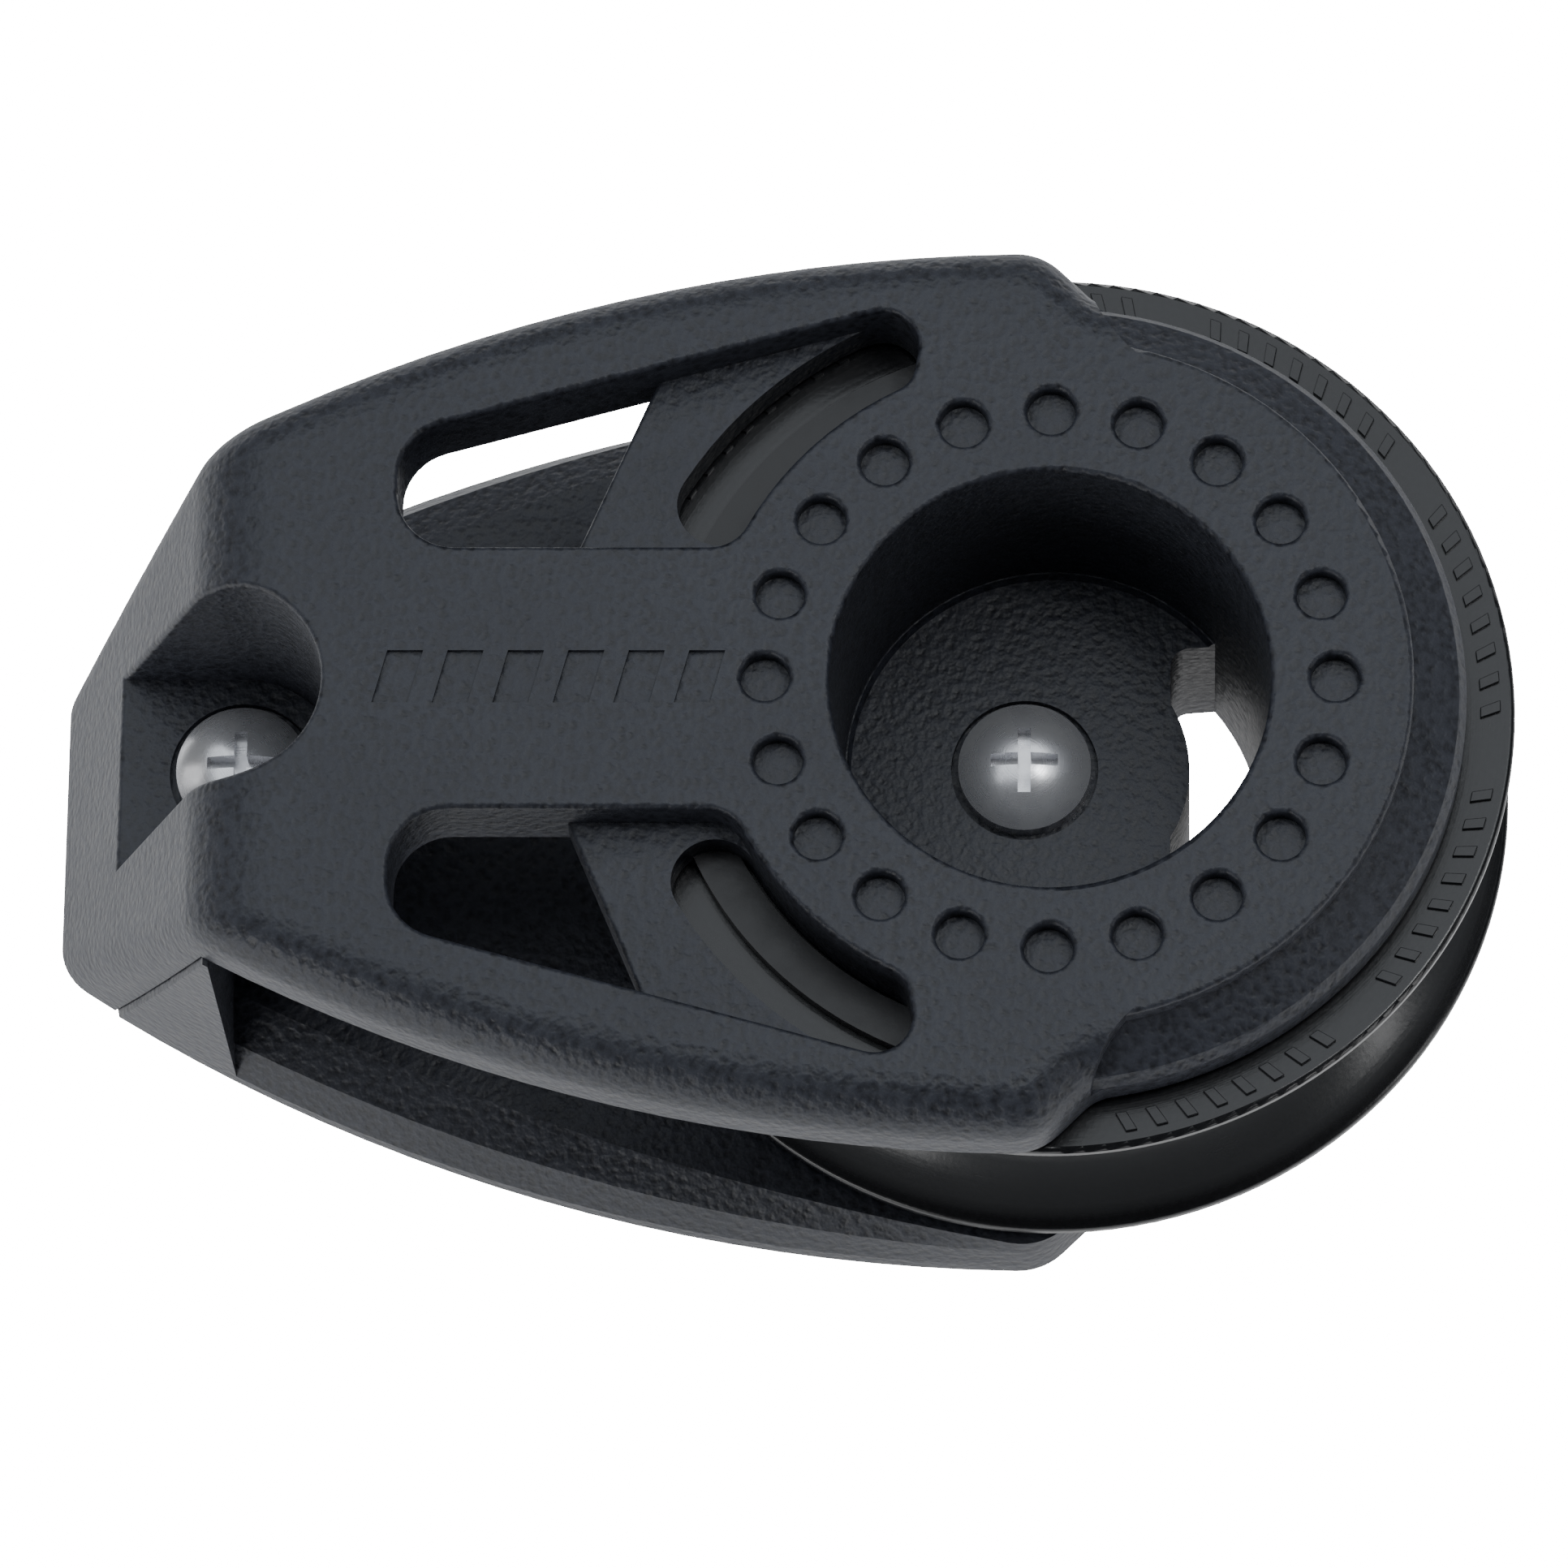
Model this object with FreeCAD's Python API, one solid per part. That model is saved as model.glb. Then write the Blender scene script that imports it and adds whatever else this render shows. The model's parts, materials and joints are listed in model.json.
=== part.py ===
import FreeCAD, Part
import math
import os

# Single sheave cheek block. Millimetres, +Z out of the mounting surface, +X from the head
# screw towards the sheave, origin on the sheave's axis at the flat back face.

V = FreeCAD.Vector
UP = V(0, 0, 1)
SHAPES = {}

# ---- overall ----
total_h = 29.5              # back face to outer face
cover_t = 5.5               # thickness of the outer sideplate
base_t = 5.6                # thickness of the base sideplate
cover_in = total_h - cover_t
seam = 0.12                 # gap at the seams between the two plates

# ---- plan outline shared by the two plates ----
nose_x = -63.0              # front of the head, at the back face
nose_half = 9.6
side_mid = (-33.0, 24.0)
ear = (-0.6, 28.8)
waist = (2.9, 25.3)
cheek_r = 25.5              # rim of the plates round the sheave
ear_r = 4.0
waist_r = 3.0
base_grow = 0.4             # the base is this much wider all round
nose_slope = 11.5 / 29.5    # the nose leans back this much per millimetre of height
nose_round = 6.0
nose_corner_r = 3.2
nose_edge_rise = 12.0       # only the two long nose edges rise more than this
rim_start_z = 2.0           # the base's sides round over from here up to its inner face
rim_bend_z = 4.3
rim_bend_in = 1.3
rim_top_in = 3.9
border = 1.1                # chamfered border round the outer face
border_drop = 1.2
pad_step = 0.3              # the face stands this much above the border
back_chamfer = 0.7
shoulder_r = 22.2           # the outer face steps down here, round the sheave
shoulder_drop = 1.3
rim_drop = 3.0
face_round = 0.35           # rounding of the moulded edges of the outer face
web_round = 0.3
lip_round = 0.4
rim_edge = 0.5              # chamfer at the rim
outside = 3.0               # a blank grown by this clears the rims of both plates
lap = 0.5                   # solids that are fused run into each other by this much

# ---- row of slanted bars sunk in the outer face, between the head and the hub ----
bar_count = 6
bar_first_x = -41.0
bar_pitch = 3.7
bar_w = 2.2
bar_half_h = 1.7
bar_slant = 0.9
bar_depth = 0.3

# ---- sheave and bearing ----
sheave_r = 28.5
sheave_w = 17.2
sheave_z = (base_t + cover_in) / 2
groove_root_r = 22.9
flange_edge = 1.0
ball_r = 4.76 / 2
ball_count = 20
race_r = 15.8
run_gap = 0.05
pitch_r = race_r + ball_r + run_gap
bore_r = pitch_r + ball_r + run_gap
row_offset = 4.2
rib_half = 0.7
cage_half_t = 1.0
cage_half_w = 3.1
pocket_gap = 0.08
rib_h = 1.1                 # the ribs between the two rows stand this proud
flange_round = 0.35
retainer_t = 0.9
retainer_r = 19.9
retainer_gap = 0.02
washer_in_r = 21.4
washer_out_r = 24.0
washer_t = 1.0
washer_sink = 0.5
washer_gap = 0.05

# ---- hub cup ----
cup_r = 13.5                # mouth of the cup
cup_floor_r = 13.0
cup_floor_z = 12.2
ledge_h = 0.5               # small chamfered ledge where the cup's wall meets its floor
ledge_w = 0.35
ledge_lean = 0.1
cup_bottom_z = 7.6
cup_out_r = 14.6
race_in_r = 14.65
dimple_ring_r = 17.4
dimple_r = 1.5
dimple_depth = 1.2
dimple_count = 20

# ---- mounting screws ----
centre_x = -1.8
head_x = centre_x - 49.0
thread_r = 2.4
shank_r = 2.6
hole_r = 2.75
head_r = 4.15
head_h = 2.9
head_rim_h = 1.2            # straight part of the head below its dome
head_sink = 0.6
head_gap = 0.45
screw_len = 20.0
point_h = 0.6
recess_half = 2.1
recess_w = 0.8
recess_depth = 1.5

# ---- head of the block ----
pocket_r = 6.2
pocket_floor_z = 11.5
post_r = 8.4
post_end_x = -51.5
seam_foot_x = -59.5         # the seam on the side of the head starts here at the back face
seam_run = 7.6              # and reaches this much further back at the cover's inner face

# ---- windows in the outer sideplate ----
window_in_r = 21.1          # edge that follows the sheave's hub
window_out_r = 26.5         # far edge of the curved slot
window_mid = 135.0          # direction in degrees of a point on the hub's edge
window_head_x = -40.2       # end nearest the head
window_low_y = 8.5
window_high_y = 15.9
window_tip = (-7.6, 24.9)   # end nearest the ear
window_tip_in_x = -8.6
window_head_r = 3.6
window_tip_r = 2.3
window_tip_in_r = 1.8
window_hub_r = 2.6
window_drop = 2.8           # the web between the two openings is sunk by this much
web_low_x = -33.1           # the web's edge at the head end leans from here
web_high = (-22.0, 26.0)    # to here
web_edge_run = (4.0, 11.0)  # the web's long edge runs further than this along X and Y
lip_edge_run = 10.0         # and the pocket's straight lip further than this along Y
slot_end = 149.0            # direction in degrees of the curved slot's head end

# ---- lashing slot through the hub ----
lash_x = 7.3                # inner edge of the slot at its two ends
lash_bulge_x = 8.5
lash_bulge_y = 4.4
lash_half = 8.0
lash_far_half = 8.8
lash_corner_r = 1.2

# ---- plan line along which the outer face steps down ----
step_from_x = -6.0
step_near = (5.0, 21.4)
step_bend = (3.2, 23.8)
step_tip = (2.4, 27.9)

# ---- assembly screws, driven from the back ----
tapper_r = 1.5
tapper_head_r = 2.7
tapper_head_h = 1.9
tapper_sink = 2.4
tapper_end_z = 10.6
hub_tapper_ring_r = 9.8
hub_tapper_angles = (75, 180, 285)
head_tapper_x = head_x + 3.2
head_tapper_y = 5.4
tapper_gap = 0.3
tapper_clear = 0.1
tapper_head_clear = 0.2
tapper_slot_half = 1.6
tapper_slot_w = 0.7
tapper_slot_depth = 0.8

FAR = 90.0                  # beyond every side of the block


def cylinder(r, z0, z1, x=0.0, y=0.0):
    return Part.makeCylinder(r, z1 - z0, V(x, y, z0), UP)


def cone(r0, r1, z0, z1, x=0.0, y=0.0):
    return Part.makeCone(r0, r1, z1 - z0, V(x, y, z0), UP)


def ring(r_in, r_out, z0, z1):
    return cylinder(r_out, z0, z1).cut(cylinder(r_in, z0 - 1, z1 + 1))


def box(x0, x1, y0, y1, z0, z1):
    return Part.makeBox(x1 - x0, y1 - y0, z1 - z0, V(x0, y0, z0))


def polar(r, degrees):
    a = math.radians(degrees)
    return r * math.cos(a), r * math.sin(a)


def line(a, b):
    return Part.LineSegment(V(a[0], a[1], 0), V(b[0], b[1], 0)).toShape()


def arc(a, mid, b):
    return Part.Arc(V(a[0], a[1], 0), V(mid[0], mid[1], 0), V(b[0], b[1], 0)).toShape()


def prism(edges, z0, z1):
    face = Part.Face(Part.Wire(Part.__sortEdges__(edges)))
    face.translate(V(0, 0, z0))
    return face.extrude(V(0, 0, z1 - z0))


def polygon(points):
    return [line(points[i], points[(i + 1) % len(points)]) for i in range(len(points))]


def spin(points):
    """Solid of revolution about Z from (radius, z) corners."""
    corners = [V(r, 0, z) for r, z in points]
    face = Part.Face(Part.makePolygon(corners + corners[:1]))
    return face.revolve(V(0, 0, 0), UP, 360)


def mirrored(shape):
    return shape.mirror(V(0, 0, 0), V(0, 1, 0))


def upright_edges(shape, x, y, tolerance=0.3):
    found = []
    for edge in shape.Edges:
        ends = [v.Point for v in edge.Vertexes]
        if len(ends) != 2:
            continue
        if abs(ends[0].z - ends[1].z) < 0.5:
            continue
        if all(math.hypot(p.x - x, p.y - y) < tolerance for p in ends):
            found.append(edge)
    return found


def round_corners(shape, corners):
    """Fillet the vertical edges that stand at the given (x, y, radius) corners."""
    for x, y, radius in corners:
        shape = shape.makeFillet(radius, upright_edges(shape, x, y))
    return shape


def plate_blank(z0, z1, grow=0.0, pinch=0.0):
    """Teardrop plate with two ears, straight walled. Pinch draws in the sides, not the ears."""
    nose = (nose_x - grow, nose_half + 0.5 * grow - pinch)
    mid = (side_mid[0], side_mid[1] + grow - pinch)
    tip = (ear[0], ear[1] + grow)
    stretch = 1 + grow / math.hypot(*waist)
    neck = (waist[0] * stretch, waist[1] * stretch)
    edges = [
        line((nose[0], -nose[1]), nose),
        arc(nose, mid, tip),
        line(tip, neck),
        arc(neck, (math.hypot(*neck), 0), (neck[0], -neck[1])),
        line((neck[0], -neck[1]), (tip[0], -tip[1])),
        arc((tip[0], -tip[1]), (mid[0], -mid[1]), (nose[0], -nose[1])),
    ]
    blank = prism(edges, z0, z1)
    corners = []
    for side in (1, -1):
        corners.append((tip[0], side * tip[1], ear_r))
        corners.append((neck[0], side * neck[1], waist_r))
    return round_corners(blank, corners)


def outline_wire(z, grow, pinch=0.0):
    """The plate outline at height z, taken off the top of a thin blank."""
    blank = plate_blank(z - 1, z, grow, pinch)
    top = [face for face in blank.Faces if face.BoundBox.ZMin > z - 0.01]
    return top[0].OuterWire


def flared(z0, grow0, z1, grow1):
    """Solid between two plate outlines at different heights."""
    return Part.makeLoft([outline_wire(z0, grow0), outline_wire(z1, grow1)], True, True)


def nose_wedge(z_top):
    """Everything behind the sloping nose, which rounds over into the face at z_top."""
    lean = math.atan(nose_slope)
    corner_x = nose_x + nose_slope * z_top
    reach = nose_round / math.tan((math.pi / 2 + lean) / 2)
    foot = (nose_x - nose_slope, -1)
    start = (corner_x - reach * math.sin(lean), z_top - reach * math.cos(lean))
    end = (corner_x + reach, z_top)
    away = math.hypot(reach, nose_round)
    middle = (end[0] - nose_round * reach / away, z_top - nose_round + nose_round * nose_round / away)
    points = [V(x, -FAR, z) for x, z in (foot, start, middle, end, (FAR, z_top), (FAR, -1))]
    edges = [Part.LineSegment(points[0], points[1]).toShape()]
    edges.append(Part.Arc(points[1], points[2], points[3]).toShape())
    edges.append(Part.LineSegment(points[3], points[4]).toShape())
    edges.append(Part.LineSegment(points[4], points[5]).toShape())
    edges.append(Part.LineSegment(points[5], points[0]).toShape())
    return Part.Face(Part.Wire(edges)).extrude(V(0, 2 * FAR, 0))


def round_nose_corners(shape):
    """Fillet the two long edges where the sloping nose meets the sides."""
    edges = []
    for edge in shape.Edges:
        b = edge.BoundBox
        if b.ZLength > nose_edge_rise and b.XMax < post_end_x + 1 and b.YLength > 1:
            edges.append(edge)
    return shape.makeFillet(nose_corner_r, edges)


def seam_wedge(shift):
    """The nose side of the sloping seam between the cover's nose and the base's post."""
    rise = cover_in
    foot = seam_foot_x + shift
    top = foot + seam_run
    profile = ((-FAR, -1), (foot, -1), (foot, 0), (top, rise), (top, rise + 1), (-FAR, rise + 1))
    points = [V(x, -FAR, z) for x, z in profile]
    return Part.Face(Part.makePolygon(points + points[:1])).extrude(V(0, 2 * FAR, 0))


def head_plug():
    """Plan area of the head, from the nose to the round back of the post."""
    front = box(-FAR, post_end_x, -FAR, FAR, 0, cover_in)
    return front.fuse(cylinder(post_r, 0, cover_in, head_x))


def window_blank(z0, z1):
    """The whole window in plan: both openings and the web between them."""
    head_low = (window_head_x, window_low_y)
    head_high = (window_head_x, window_high_y)
    tip_in = (window_tip_in_x, math.sqrt(window_in_r ** 2 - window_tip_in_x ** 2))
    hub = (-math.sqrt(window_in_r ** 2 - window_low_y ** 2), window_low_y)
    edges = [
        line(head_low, head_high),
        line(head_high, window_tip),
        line(window_tip, tip_in),
        arc(tip_in, polar(window_in_r, window_mid), hub),
        line(hub, head_low),
    ]
    corners = [
        (*head_low, window_head_r),
        (*head_high, window_head_r),
        (*window_tip, window_tip_r),
        (*tip_in, window_tip_in_r),
        (*hub, window_hub_r),
    ]
    return round_corners(prism(edges, z0, z1), corners)


def window_cutter():
    """A sunk pocket with an opening at its head end and a curved slot beside the hub."""
    z0 = cover_in - 1
    z1 = total_h + 1
    pocket = window_blank(total_h - window_drop, z1)
    through = window_blank(z0, z1)
    head_side = prism(polygon([(-FAR, 0), (web_low_x, 0), web_high, (-FAR, web_high[1])]), z0, z1)
    middle_r = (window_in_r + window_out_r) / 2
    half = (window_out_r - window_in_r) / 2
    band = ring(window_in_r - 1, window_out_r, z0, z1)
    sector = prism(polygon([(0, 0), (0, FAR), (-FAR, FAR), polar(FAR, slot_end)]), z0, z1)
    slot = band.common(sector).fuse(cylinder(half, z0, z1, *polar(middle_r, slot_end)))
    return pocket.fuse(through.common(head_side)).fuse(through.common(slot))


def lashing_cutter(z0, z1):
    """Through slot beside the hub's outer wall, with a bulging inner edge."""
    far = cup_floor_r + 5
    keep = prism([
        line((lash_x, -lash_half), (lash_x, -lash_bulge_y)),
        arc((lash_x, -lash_bulge_y), (lash_bulge_x, 0), (lash_x, lash_bulge_y)),
        line((lash_x, lash_bulge_y), (lash_x, lash_half)),
        line((lash_x, lash_half), (far, lash_far_half)),
        line((far, lash_far_half), (far, -lash_far_half)),
        line((far, -lash_far_half), (lash_x, -lash_half)),
    ], z0, z1)
    keep = round_corners(keep, [(lash_x, lash_half, lash_corner_r), (lash_x, -lash_half, lash_corner_r)])
    return cylinder(cup_floor_r, z0, z1).common(keep)


def screw_places():
    return [(centre_x, cup_floor_z), (head_x, pocket_floor_z)]


def tapper_places():
    places = [polar(hub_tapper_ring_r, a) for a in hub_tapper_angles]
    return places + [(head_tapper_x, head_tapper_y), (head_tapper_x, -head_tapper_y)]


def washer_recess(z0, z1):
    return ring(washer_in_r - washer_gap, washer_out_r + washer_gap, z0, z1)


def border_cutter():
    """What the chamfered border takes off the rim of the outer face."""
    z_border = total_h - border_drop
    z_pad = total_h - pad_step
    keep = flared(z_border, 0, z_pad, -border)
    keep = keep.fuse(plate_blank(z_pad - lap / 2, total_h + 2, -border))
    return plate_blank(z_border, total_h + 1, outside).cut(keep)


def rim_cutter():
    """What the rounded sides take off the rim of the base's inner face."""
    start = outline_wire(rim_start_z, base_grow)
    bend = outline_wire(rim_bend_z, base_grow, rim_bend_in)
    end = outline_wire(base_t, base_grow, rim_top_in)
    keep = Part.makeLoft([start, bend], True, True).fuse(Part.makeLoft([bend, end], True, True))
    return plate_blank(rim_start_z, base_t, outside).cut(keep)


def cover_skin():
    """Outer plate with its rounded sloping nose and chamfered border."""
    blank = round_nose_corners(plate_blank(0, total_h).common(nose_wedge(total_h)))
    blank = blank.cut(border_cutter())
    plate_zone = box(-FAR, FAR, -FAR, FAR, cover_in, total_h + 1)
    head_zone = head_plug().common(seam_wedge(0)).fuse(cylinder(post_r, base_t, cover_in, head_x))
    solid = blank.common(plate_zone.fuse(head_zone))
    return solid.removeSplitter()


def step_down(solid):
    """Lower the outer face round the sheave: a small step, then a slope to the rim."""
    z_step = total_h - shoulder_drop
    z_rim = total_h - rim_drop
    drop = (z_step - z_rim) / (cheek_r - shoulder_r)
    z_far = z_rim - rim_edge - drop * (FAR - cheek_r)
    profile = [(shoulder_r, total_h + 1), (shoulder_r, z_step)]
    profile += [(cheek_r - rim_edge, z_rim + drop * rim_edge), (cheek_r, z_rim - rim_edge)]
    profile += [(FAR, z_far), (FAR, total_h + 1)]
    near_low, bend_low, tip_low = [(x, -y) for x, y in (step_near, step_bend, step_tip)]
    reach = prism([
        arc(near_low, bend_low, tip_low),
        line(tip_low, (step_tip[0], -FAR)),
        line((step_tip[0], -FAR), (FAR, -FAR)),
        line((FAR, -FAR), (FAR, FAR)),
        line((FAR, FAR), (step_tip[0], FAR)),
        line((step_tip[0], FAR), step_tip),
        arc(step_tip, step_bend, step_near),
        line(step_near, near_low),
    ], 0, total_h + 2)
    return solid.cut(spin(profile).common(reach))


def level_edges(solid, z):
    """Each edge that lies flat at height z, with the point at its middle."""
    found = []
    for edge in solid.Edges:
        if edge.Degenerated:
            continue
        b = edge.BoundBox
        if abs(b.ZMin - z) < 0.02 and abs(b.ZMax - z) < 0.02:
            found.append((edge, edge.valueAt((edge.FirstParameter + edge.LastParameter) / 2)))
    return found


def soften_edges(solid):
    """Round the cover's moulded edges. Where the step starts beside the ears they stay sharp."""
    face = []
    for edge, middle in level_edges(solid, total_h):
        if middle.x > step_from_x and abs(middle.y) > step_near[1] + 0.3:
            continue
        face.append(edge)
    solid = solid.makeFillet(face_round, face)
    web = []
    for edge, middle in level_edges(solid, total_h - window_drop):
        b = edge.BoundBox
        long_enough = b.XLength > web_edge_run[0] and b.YLength > web_edge_run[1]
        if web_low_x < middle.x < web_high[0] and long_enough:
            web.append(edge)
    solid = solid.makeFillet(web_round, web)
    lip = []
    for edge, middle in level_edges(solid, pocket_floor_z):
        if edge.BoundBox.YLength > lip_edge_run and edge.BoundBox.XLength < 0.1:
            lip.append(edge)
    return solid.makeFillet(lip_round, lip)


def bar_row(solid):
    """Sink a row of plain slanted bars into the outer face."""
    z0 = total_h - bar_depth
    for i in range(bar_count):
        x = bar_first_x + i * bar_pitch
        low = x - bar_slant / 2
        high = x + bar_slant / 2
        corners = [(low, -bar_half_h), (low + bar_w, -bar_half_h), (high + bar_w, bar_half_h)]
        corners.append((high, bar_half_h))
        solid = solid.cut(prism(polygon(corners), z0, total_h + 1))
    return solid


def outer_sideplate():
    solid = cover_skin()
    solid = step_down(solid)
    solid = solid.fuse(cylinder(cup_out_r, cup_bottom_z, cover_in + lap))
    solid = solid.cut(cone(cup_floor_r, cup_r, cup_floor_z + ledge_h, total_h))
    ledge_r = cup_floor_r - ledge_w
    solid = solid.cut(cone(ledge_r, cup_floor_r - ledge_lean, cup_floor_z, cup_floor_z + ledge_h))
    for cutter in (window_cutter(), mirrored(window_cutter())):
        solid = solid.cut(cutter)
    for i in range(dimple_count):
        x, y = polar(dimple_ring_r, i * 360 / dimple_count)
        solid = solid.cut(cylinder(dimple_r, total_h - dimple_depth, total_h + 1, x, y))
    solid = solid.cut(cylinder(pocket_r, pocket_floor_z, total_h + 1, head_x))
    solid = solid.cut(box(-FAR, head_x, -pocket_r, pocket_r, pocket_floor_z, total_h + 1))
    for x, floor in screw_places():
        solid = solid.cut(cylinder(hole_r, -1, floor + 1, x))
        solid = solid.cut(cylinder(head_r + head_gap, floor - head_sink, floor + 1, x))
    for x, y in tapper_places():
        solid = solid.cut(cylinder(tapper_r, 0, tapper_end_z, x, y))
    solid = solid.cut(lashing_cutter(-1, cup_floor_z + 1))
    solid = solid.cut(washer_recess(cover_in - 1, cover_in + washer_sink))
    return bar_row(soften_edges(solid))


def base_sideplate():
    blank = round_nose_corners(plate_blank(0, cover_in, base_grow).common(nose_wedge(total_h)))
    chamfer = plate_blank(0, back_chamfer, outside)
    blank = blank.cut(chamfer.cut(flared(0, base_grow - back_chamfer, back_chamfer, base_grow)))
    plate = blank.common(box(-FAR, FAR, -FAR, FAR, 0, base_t)).cut(rim_cutter())
    post = blank.common(head_plug()).common(box(-FAR, FAR, -FAR, FAR, 0, cover_in - seam))
    solid = plate.fuse(post)
    solid = solid.cut(seam_wedge(seam))
    solid = solid.cut(cylinder(post_r + seam, base_t, cover_in + 1, head_x))
    solid = solid.fuse(cylinder(cup_out_r, base_t - 1, cup_bottom_z))
    for x, floor in screw_places():
        solid = solid.cut(cylinder(hole_r, -1, floor, x))
    for x, y in tapper_places():
        solid = solid.cut(cylinder(tapper_r + tapper_clear, -1, cup_bottom_z + 1, x, y))
        solid = solid.cut(cylinder(tapper_head_r + tapper_head_clear, -1, tapper_sink, x, y))
    solid = solid.cut(lashing_cutter(-1, cup_floor_z + 1))
    solid = solid.cut(washer_recess(base_t - washer_sink, base_t + 1))
    return solid


def sheave():
    """Grooved wheel with a plain bore and a rib between the two rows of balls."""
    half = sheave_w / 2
    lip = half - flange_edge
    rise = sheave_r - groove_root_r
    groove_r = (lip * lip + rise * rise) / (2 * rise)
    rib_r = bore_r - rib_h
    blank = ring(bore_r, sheave_r, sheave_z - half, sheave_z + half)
    blank = blank.fuse(ring(rib_r, bore_r + lap, sheave_z - rib_half, sheave_z + rib_half))
    groove = Part.makeTorus(groove_root_r + groove_r, groove_r, V(0, 0, sheave_z), UP)
    blank = blank.cut(groove)
    edges = []
    for edge in blank.Edges:
        if abs(edge.BoundBox.XMax - sheave_r) < 0.01 and edge.BoundBox.ZLength < 0.01:
            edges.append(edge)
    return blank.makeFillet(flange_round, edges)


def inner_race():
    solid = ring(race_in_r, race_r, base_t, cover_in)
    return solid.fuse(ring(race_r - lap, race_r + rib_h, sheave_z - rib_half, sheave_z + rib_half))


def retainer(z0):
    return ring(race_r + retainer_gap, retainer_r, z0, z0 + retainer_t)


def thrust_washer(z0):
    return ring(washer_in_r, washer_out_r, z0, z0 + washer_t)


def ball_place(i):
    return polar(pitch_r, (i + 0.5) * 360 / ball_count)


def ball_cage(row_z):
    solid = ring(pitch_r - cage_half_t, pitch_r + cage_half_t, row_z - cage_half_w, row_z + cage_half_w)
    for i in range(ball_count):
        x, y = ball_place(i)
        solid = solid.cut(Part.makeCylinder(ball_r + pocket_gap, 30, V(0, 0, row_z), V(x, y, 0)))
    return solid


def ball(i, row_z):
    x, y = ball_place(i)
    return Part.makeSphere(ball_r, V(x, y, row_z))


def cross_recess(x, z_top):
    z0 = z_top - recess_depth
    half_w = recess_w / 2
    arm = box(x - recess_half, x + recess_half, -half_w, half_w, z0, z_top + 1)
    return arm.fuse(box(x - half_w, x + half_w, -recess_half, recess_half, z0, z_top + 1))


def mounting_screw(x, floor):
    """Domed machine screw with a plain shank in the block and its thread below the back face."""
    z_seat = floor - head_sink
    z_top = z_seat + head_h
    rise = head_h - head_rim_h
    dome_r = (head_r ** 2 + rise ** 2) / (2 * rise)
    dome = Part.makeSphere(dome_r, V(x, 0, z_top - dome_r))
    head = cylinder(head_r, z_seat, z_top, x).common(dome)
    tip = z_seat - screw_len
    shank = cylinder(shank_r, 0, z_seat + lap, x)
    thread = cylinder(thread_r, tip + point_h, lap, x)
    point = cone(thread_r - point_h, thread_r, tip, tip + point_h, x)
    return head.fuse([shank, thread, point]).cut(cross_recess(x, z_top)).removeSplitter()


def assembly_screws():
    """Five self-tapping screws, one group of separate solids."""
    screws = []
    z_head = tapper_sink - tapper_head_h
    half_w = tapper_slot_w / 2
    for x, y in tapper_places():
        head = cylinder(tapper_head_r, z_head, tapper_sink, x, y)
        shank = cylinder(tapper_r, z_head + lap, tapper_end_z - tapper_gap, x, y)
        z_slot = z_head + tapper_slot_depth
        slot = box(x - tapper_slot_half, x + tapper_slot_half, y - half_w, y + half_w, -1, z_slot)
        screws.append(head.fuse(shank).removeSplitter().cut(slot))
    return Part.makeCompound(screws)


def build():
    SHAPES["outer_sideplate"] = outer_sideplate()
    SHAPES["base_sideplate"] = base_sideplate()
    SHAPES["sheave"] = sheave()
    SHAPES["inner_race"] = inner_race()
    SHAPES["near_retainer"] = retainer(cover_in - washer_sink - retainer_t)
    SHAPES["far_retainer"] = retainer(base_t + washer_sink)
    SHAPES["near_thrust_washer"] = thrust_washer(cover_in + washer_sink - washer_t)
    SHAPES["far_thrust_washer"] = thrust_washer(base_t - washer_sink)
    SHAPES["centre_screw"] = mounting_screw(*screw_places()[0])
    SHAPES["head_screw"] = mounting_screw(*screw_places()[1])
    SHAPES["assembly_screws"] = assembly_screws()
    for row, row_z in (("near", sheave_z + row_offset), ("far", sheave_z - row_offset)):
        SHAPES[row + "_ball_cage"] = ball_cage(row_z)
        for i in range(ball_count):
            SHAPES["%s_ball_%02d" % (row, i + 1)] = ball(i, row_z)


build()
os.makedirs("parts", exist_ok=True)
for node, shape in SHAPES.items():
    shape.exportStep("parts/" + node + ".step")
    print(node, "valid", shape.isValid(), "solids", len(shape.Solids), "volume", round(shape.Volume, 1))
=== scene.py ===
import json
import math
import bmesh
import bpy
from mathutils import Matrix, Vector


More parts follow.
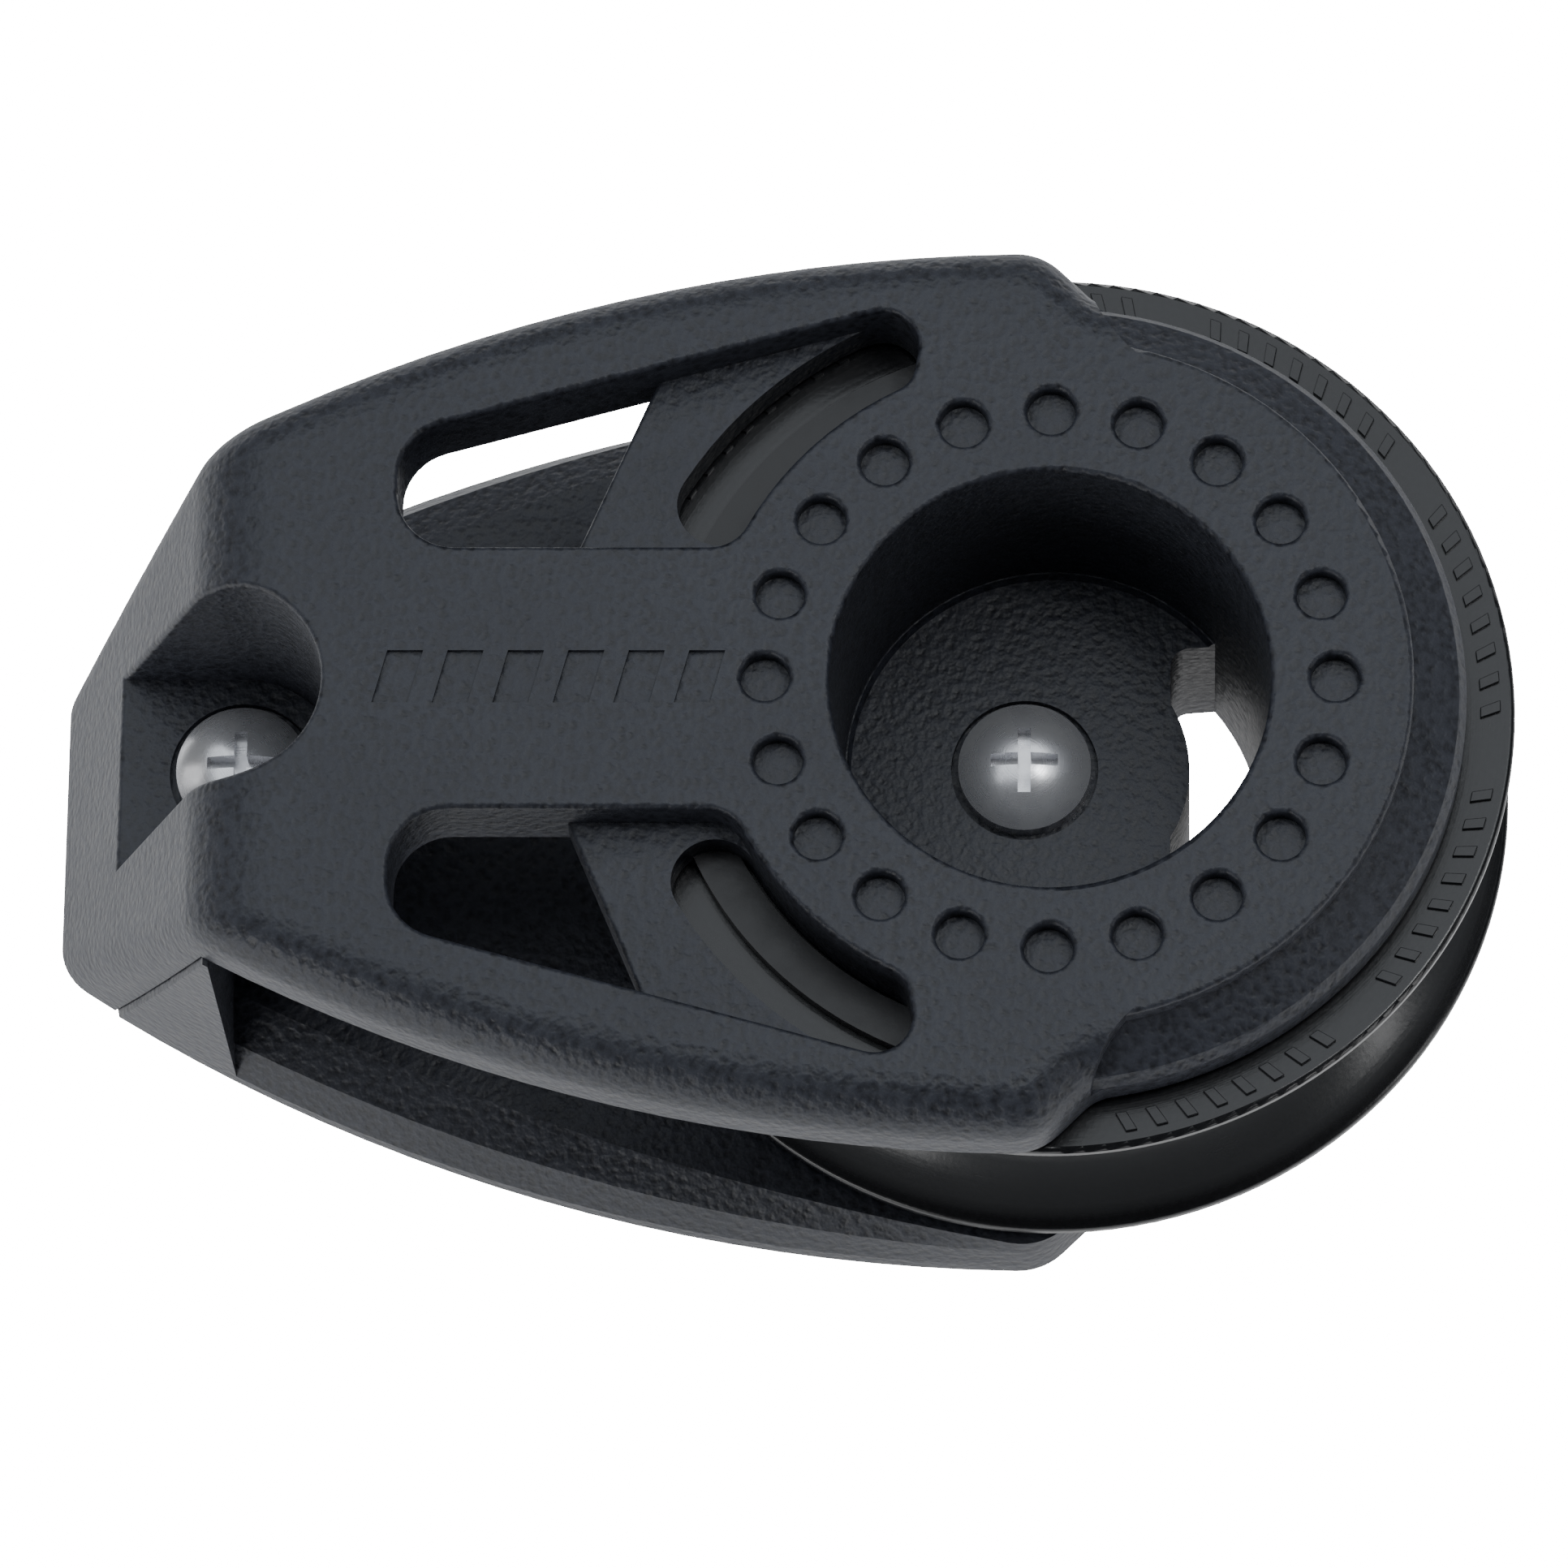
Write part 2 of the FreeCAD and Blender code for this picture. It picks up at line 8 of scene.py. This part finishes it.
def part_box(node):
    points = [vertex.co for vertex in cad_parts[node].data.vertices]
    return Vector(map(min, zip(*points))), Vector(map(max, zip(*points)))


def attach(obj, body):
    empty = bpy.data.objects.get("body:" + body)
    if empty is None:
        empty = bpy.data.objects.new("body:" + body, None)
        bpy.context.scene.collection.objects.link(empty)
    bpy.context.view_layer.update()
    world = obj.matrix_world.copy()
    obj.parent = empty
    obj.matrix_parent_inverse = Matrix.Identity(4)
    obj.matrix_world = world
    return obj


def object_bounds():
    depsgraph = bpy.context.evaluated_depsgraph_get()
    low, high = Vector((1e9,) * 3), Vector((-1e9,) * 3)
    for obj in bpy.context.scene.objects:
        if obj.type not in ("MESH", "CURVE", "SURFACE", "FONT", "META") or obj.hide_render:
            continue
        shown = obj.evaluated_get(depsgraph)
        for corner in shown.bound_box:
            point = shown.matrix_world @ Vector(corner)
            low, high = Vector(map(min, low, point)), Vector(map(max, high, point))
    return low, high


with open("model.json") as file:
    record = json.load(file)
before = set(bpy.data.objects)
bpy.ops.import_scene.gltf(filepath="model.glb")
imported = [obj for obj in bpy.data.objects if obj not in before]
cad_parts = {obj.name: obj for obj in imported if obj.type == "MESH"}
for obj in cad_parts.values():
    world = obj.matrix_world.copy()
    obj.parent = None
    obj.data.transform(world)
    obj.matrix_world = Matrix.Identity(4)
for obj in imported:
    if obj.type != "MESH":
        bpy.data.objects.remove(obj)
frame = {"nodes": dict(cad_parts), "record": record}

cad_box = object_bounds()
MM = 0.001

TABLE_LIGHT = 0.8     # what the white table gives the object
TABLE_SEEN = 20.0     # what the table looks like itself: plain white
TABLE_HALF = 3.0      # metres
TABLE_DROP_MM = 0.4   # below the lowest point of the part
SKY = 0.06

GROOVE_IN_MM = (22.0, 22.6)     # the lighter groove colour (rope wear and painted sheen) fades in over these radii
GROOVE_OUT_MM = (27.6, 28.0)    # and out over these
GROOVE_HALF_MM = (7.0, 7.6)     # and fades over these distances from the sheave's middle height

TICK_GROUPS = 9
TICKS_IN_GROUP = 8
TICK_SPREAD = 0.8     # share of each group's sector that the ticks fill
TICK_INSET_MM = 0.9   # from the sheave's rim to the ticks
TICK_LENGTH_MM = 1.25
TICK_TOP_MM = 0.22    # above the flange
TICK_FOOT_MM = 0.05   # below it
TICK_HALF_DEG = 0.75
TICK_LEAN_DEG = 0.5
TICK_BEVEL_MM = 0.05


# ---------- camera ----------

def add_camera():
    """Looks down on the open side, tilted towards the block's lower edge."""
    azimuth = math.radians(6.45)
    elevation = math.radians(70.63)
    roll = math.radians(-6.05)
    distance = 0.700
    target = Vector((-16.72 * MM, -1.90 * MM, 15 * MM))
    out = Vector((math.sin(azimuth) * math.cos(elevation),
                  -math.cos(azimuth) * math.cos(elevation),
                  math.sin(elevation)))
    right = (-out).cross(Vector((0, 0, 1))).normalized()
    up = right.cross(-out)
    side = math.cos(roll) * right + math.sin(roll) * up
    top = -math.sin(roll) * right + math.cos(roll) * up
    turn = Matrix((side, top, out)).transposed().to_4x4()
    data = bpy.data.cameras.new("camera")
    data.sensor_width = 36
    data.sensor_fit = "HORIZONTAL"
    data.lens = 258.3
    data.clip_start = 0.01
    data.clip_end = 20
    camera = bpy.data.objects.new("camera", data)
    bpy.context.collection.objects.link(camera)
    camera.matrix_world = Matrix.Translation(target + out * distance) @ turn
    bpy.context.scene.camera = camera


# ---------- materials ----------

class Graph:
    """A material's node tree, with short ways to add and join its nodes."""

    def __init__(self, name):
        self.material = bpy.data.materials.new(name)
        self.material.use_nodes = True
        self.tree = self.material.node_tree
        self.shader = self.tree.nodes["Principled BSDF"]
        self.place = self.add("ShaderNodeTexCoord").outputs["Object"]

    def add(self, kind, **settings):
        node = self.tree.nodes.new(kind)
        for key, value in settings.items():
            setattr(node, key, value)
        return node

    def join(self, source, target):
        self.tree.links.new(source, target)

    def noise(self, size_mm, detail):
        """Noise whose blotches are about size_mm across."""
        node = self.add("ShaderNodeTexNoise")
        node.inputs["Scale"].default_value = 1 / (size_mm * MM)
        node.inputs["Detail"].default_value = detail
        self.join(self.place, node.inputs["Vector"])
        return node.outputs["Fac"]

    def cells(self, size_mm):
        node = self.add("ShaderNodeTexVoronoi", feature="F1")
        node.inputs["Scale"].default_value = 1 / (size_mm * MM)
        self.join(self.place, node.inputs["Vector"])
        return node.outputs["Distance"]

    def radius(self, x_mm=0.0):
        """Distance in metres from an upright axis in the plane Y = 0."""
        move = self.add("ShaderNodeVectorMath", operation="SUBTRACT")
        self.join(self.place, move.inputs[0])
        move.inputs[1].default_value = (x_mm * MM, 0, 0)
        flat = self.add("ShaderNodeVectorMath", operation="MULTIPLY")
        self.join(move.outputs[0], flat.inputs[0])
        flat.inputs[1].default_value = (1, 1, 0)
        length = self.add("ShaderNodeVectorMath", operation="LENGTH")
        self.join(flat.outputs[0], length.inputs[0])
        return length.outputs["Value"]

    def band(self, z, full_mm, none_mm):
        """One within full_mm of a height in metres, nothing beyond none_mm."""
        split = self.add("ShaderNodeSeparateXYZ")
        self.join(self.place, split.inputs[0])
        away = self.maths("ABSOLUTE", self.maths("SUBTRACT", split.outputs["Z"], z), 0.0)
        return self.ramp(away, 1, 0, full_mm * MM, none_mm * MM)

    def lathe_lines(self, pitch_mm, x_mm=0.0):
        """Fine noise that changes only with the radius, as turning marks do."""
        node = self.add("ShaderNodeTexNoise", noise_dimensions="1D")
        node.inputs["Scale"].default_value = 1 / (pitch_mm * MM)
        node.inputs["Detail"].default_value = 3.0
        self.join(self.radius(x_mm), node.inputs["W"])
        return node.outputs["Fac"]

    def maths(self, operation, a, b):
        node = self.add("ShaderNodeMath", operation=operation)
        for socket, value in zip(node.inputs, (a, b)):
            if isinstance(value, (int, float)):
                socket.default_value = value
            else:
                self.join(value, socket)
        return node.outputs[0]

    def ramp(self, value, low, high, from_low=0.0, from_high=1.0):
        """Value from one range to another, clamped."""
        node = self.add("ShaderNodeMapRange")
        node.inputs["From Min"].default_value = from_low
        node.inputs["From Max"].default_value = from_high
        node.inputs["To Min"].default_value = low
        node.inputs["To Max"].default_value = high
        self.join(value, node.inputs["Value"])
        return node.outputs["Result"]

    def blend(self, factor, first, second):
        """Colour between two colours, or two colour outputs."""
        node = self.add("ShaderNodeMix", data_type="RGBA")
        self.join(factor, node.inputs["Factor"])
        for socket, value in ((node.inputs[6], first), (node.inputs[7], second)):
            if isinstance(value, tuple):
                socket.default_value = (*value, 1)
            else:
                self.join(value, socket)
        return node.outputs[2]

    def bump(self, height, depth_mm):
        node = self.add("ShaderNodeBump")
        node.inputs["Distance"].default_value = depth_mm * MM
        self.join(height, node.inputs["Height"])
        return node.outputs["Normal"]

    def finish(self, colour, roughness, normal, **constants):
        self.join(colour, self.shader.inputs["Base Color"])
        self.join(roughness, self.shader.inputs["Roughness"])
        self.join(normal, self.shader.inputs["Normal"])
        for key, value in constants.items():
            self.shader.inputs[key.replace("_", " ")].default_value = value
        return self.material


def moulded_grain():
    """Glass-filled nylon with the spark-eroded grain of its mould."""
    g = Graph("moulded_grain")
    grain = g.maths("ADD", g.noise(0.42, 1), g.maths("MULTIPLY", g.cells(0.62), 0.8))
    patches = g.noise(9, 3)
    colour = g.blend(g.ramp(grain, 0, 1, 0.5, 1.1), (0.010, 0.011, 0.016), (0.034, 0.038, 0.052))
    colour = g.blend(g.ramp(patches, 0, 0.35, 0.35, 0.75), colour, (0.026, 0.029, 0.039))
    rough = g.maths("ADD", g.ramp(grain, 0.42, 0.52, 0.4, 1.2), g.ramp(patches, -0.04, 0.04))
    return g.finish(colour, rough, g.bump(grain, 0.07), Specular_IOR_Level=0.55)


def smooth_black():
    """The sheave's smoother, blacker plastic with faint turning marks and a lighter groove: rope wear,
    and painted sheen standing in for light the groove catches.
    """
    g = Graph("smooth_black")
    lines = g.lathe_lines(0.25)
    pores = g.noise(0.35, 3)
    colour = g.blend(g.ramp(pores, 0, 1, 0.3, 0.7), (0.006, 0.0065, 0.008), (0.012, 0.0125, 0.015))
    outward = g.maths("MULTIPLY", g.ramp(g.radius(), 0, 1, *(r * MM for r in GROOVE_IN_MM)),
                      g.ramp(g.radius(), 1, 0, *(r * MM for r in GROOVE_OUT_MM)))
    groove_wear_and_sheen = g.maths("MULTIPLY", outward, g.band(centre_of("sheave").z, *GROOVE_HALF_MM))
    # lighter groove colour: painted sheen for the light caught in the groove, together with rope wear
    colour = g.blend(groove_wear_and_sheen, colour, (0.050, 0.052, 0.056))
    rough = g.maths("ADD", g.ramp(g.noise(6, 3), 0.20, 0.30), g.ramp(lines, -0.03, 0.03))
    height = g.maths("ADD", g.maths("MULTIPLY", lines, 0.5), g.maths("MULTIPLY", pores, 0.7))
    return g.finish(colour, rough, g.bump(height, 0.012), Specular_IOR_Level=0.6)


def polished_steel(name, x_mm):
    """Polished stainless steel with faint turning rings about one screw's axis."""
    g = Graph(name)
    rings = g.lathe_lines(0.09, x_mm)
    smudge = g.noise(1.6, 4)
    colour = g.blend(g.ramp(smudge, 0, 1, 0.35, 0.7), (0.93, 0.93, 0.95), (0.74, 0.74, 0.77))
    rough = g.maths("ADD", g.ramp(smudge, 0.20, 0.32, 0.35, 0.7), g.ramp(rings, -0.03, 0.05))
    return g.finish(colour, rough, g.bump(rings, 0.0025), Metallic=0.70)


def hard_anodised():
    g = Graph("hard_anodised")
    lines = g.lathe_lines(0.15)
    colour = g.blend(g.noise(1.2, 3), (0.085, 0.085, 0.092), (0.13, 0.13, 0.14))
    rough = g.ramp(lines, 0.28, 0.42)
    return g.finish(colour, rough, g.bump(lines, 0.006), Metallic=0.85)


def acetal(name, dark, light, low_rough, high_rough):
    """Smooth moulded bearing plastic."""
    g = Graph(name)
    cloud = g.noise(1.1, 4)
    colour = g.blend(g.ramp(cloud, 0, 1, 0.35, 0.7), dark, light)
    rough = g.ramp(cloud, low_rough, high_rough, 0.3, 0.7)
    return g.finish(colour, rough, g.bump(g.noise(0.3, 3), 0.006), Specular_IOR_Level=0.5)


def dress(node_name, material):
    """Gives a CAD node its procedural material in every slot."""
    for slot in frame["nodes"][node_name].material_slots:
        slot.material = material


def dress_all():
    centre_x = centre_of("centre_screw").x / MM
    head_x = centre_of("head_screw").x / MM
    by_slot = {
        "sideplate": moulded_grain(),
        "sheave": smooth_black(),
        "screw_steel": polished_steel("polished_steel", centre_x),
        "race": hard_anodised(),
        "ball": acetal("ball_acetal", (0.74, 0.73, 0.69), (0.86, 0.85, 0.82), 0.16, 0.26),
        "cage": acetal("cage_nylon", (0.035, 0.036, 0.040), (0.055, 0.056, 0.060), 0.40, 0.52),
        "washer": acetal("washer_acetal", (0.010, 0.010, 0.012), (0.018, 0.018, 0.020), 0.30, 0.42),
    }
    for part in frame["record"]["subparts"]:
        dress(part["node"], by_slot[part["material_slot"]])
    dress("head_screw", polished_steel("polished_steel_head", head_x))


# ---------- places ----------

def centre_of(node_name):
    low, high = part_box(node_name)
    return (Vector(low) + Vector(high)) / 2


# ---------- studio ----------

def add_floor():
    """White light table, a little below the screw tips."""
    height = cad_box[0][2] - TABLE_DROP_MM * MM
    corners = [(x * TABLE_HALF, y * TABLE_HALF, height) for x, y in ((-1, -1), (1, -1), (1, 1), (-1, 1))]
    data = bpy.data.meshes.new("floor")
    data.from_pydata(corners, [], [(0, 1, 2, 3)])
    floor = bpy.data.objects.new("floor", data)
    bpy.context.collection.objects.link(floor)
    g = Graph("light_table")
    path = g.add("ShaderNodeLightPath")
    seen = g.ramp(path.outputs["Is Camera Ray"], TABLE_LIGHT, TABLE_SEEN)
    g.shader.inputs["Base Color"].default_value = (0.9, 0.9, 0.9, 1)
    g.shader.inputs["Roughness"].default_value = 0.7
    g.shader.inputs["Emission Color"].default_value = (1, 1, 1, 1)
    g.join(seen, g.shader.inputs["Emission Strength"])
    data.materials.append(g.material)


def add_world():
    world = bpy.data.worlds.new("studio")
    bpy.context.scene.world = world
    world.use_nodes = True
    back = world.node_tree.nodes["Background"]
    back.inputs["Color"].default_value = (0.96, 0.98, 1.0, 1)
    back.inputs["Strength"].default_value = SKY


def add_softbox(name, place_mm, aim_mm, size_mm, watts, colour=(1, 1, 1)):
    data = bpy.data.lights.new(name, "AREA")
    data.shape = "RECTANGLE"
    data.size = size_mm[0] * MM
    data.size_y = size_mm[1] * MM
    data.energy = watts
    data.color = colour
    light = bpy.data.objects.new(name, data)
    bpy.context.collection.objects.link(light)
    place = Vector(place_mm) * MM
    aim = Vector(aim_mm) * MM
    light.location = place
    light.rotation_euler = (aim - place).to_track_quat("-Z", "Y").to_euler()


def add_lights():
    middle = (-17, 0, 15)
    add_softbox("overhead", (-40, 200, 520), middle, (900, 560), 2.15, (0.90, 0.95, 1.0))
    add_softbox("key", (170, 40, 520), middle, (80, 80), 0.25)
    add_softbox("left", (-430, 60, 180), middle, (160, 220), 0.10)
    add_softbox("front", (-340, -400, 140), (0, -10, 12), (300, 150), 0.60)
    add_softbox("right", (380, -160, 160), middle, (60, 260), 0.20)


# ---------- detail ----------

def add_flange_ticks():
    """Low raised ticks round the sheave's near flange, in groups, as plain moulded marks."""
    low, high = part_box("sheave")
    axis = centre_of("sheave")
    outer = (high[0] - low[0]) / 2 - TICK_INSET_MM * MM
    inner = outer - TICK_LENGTH_MM * MM
    top = high[2] + TICK_TOP_MM * MM
    foot = high[2] - TICK_FOOT_MM * MM
    half = math.radians(TICK_HALF_DEG)
    lean = math.radians(TICK_LEAN_DEG)
    mesh = bmesh.new()
    for group in range(TICK_GROUPS):
        for i in range(TICKS_IN_GROUP):
            angle = 2 * math.pi * (group + i * TICK_SPREAD / TICKS_IN_GROUP) / TICK_GROUPS
            ring = []
            for radius, turn in ((inner, -half - lean), (inner, half - lean), (outer, half + lean),
                                 (outer, -half + lean)):
                ring.append((axis.x + radius * math.cos(angle + turn),
                             axis.y + radius * math.sin(angle + turn)))
            bottom = [mesh.verts.new((x, y, foot)) for x, y in ring]
            crown = [mesh.verts.new((x, y, top)) for x, y in ring]
            mesh.faces.new(crown)
            mesh.faces.new(bottom[::-1])
            for k in range(4):
                n = (k + 1) % 4
                mesh.faces.new((bottom[k], bottom[n], crown[n], crown[k]))
    data = bpy.data.meshes.new("flange_ticks")
    mesh.to_mesh(data)
    mesh.free()
    ticks = bpy.data.objects.new("flange_ticks", data)
    bpy.context.collection.objects.link(ticks)
    bevel = ticks.modifiers.new("bevel", "BEVEL")
    bevel.width = TICK_BEVEL_MM * MM
    bevel.segments = 2
    data.materials.append(bpy.data.materials["smooth_black"])
    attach(ticks, "sheave")


add_camera()
dress_all()
add_flange_ticks()
add_floor()
add_world()
add_lights()
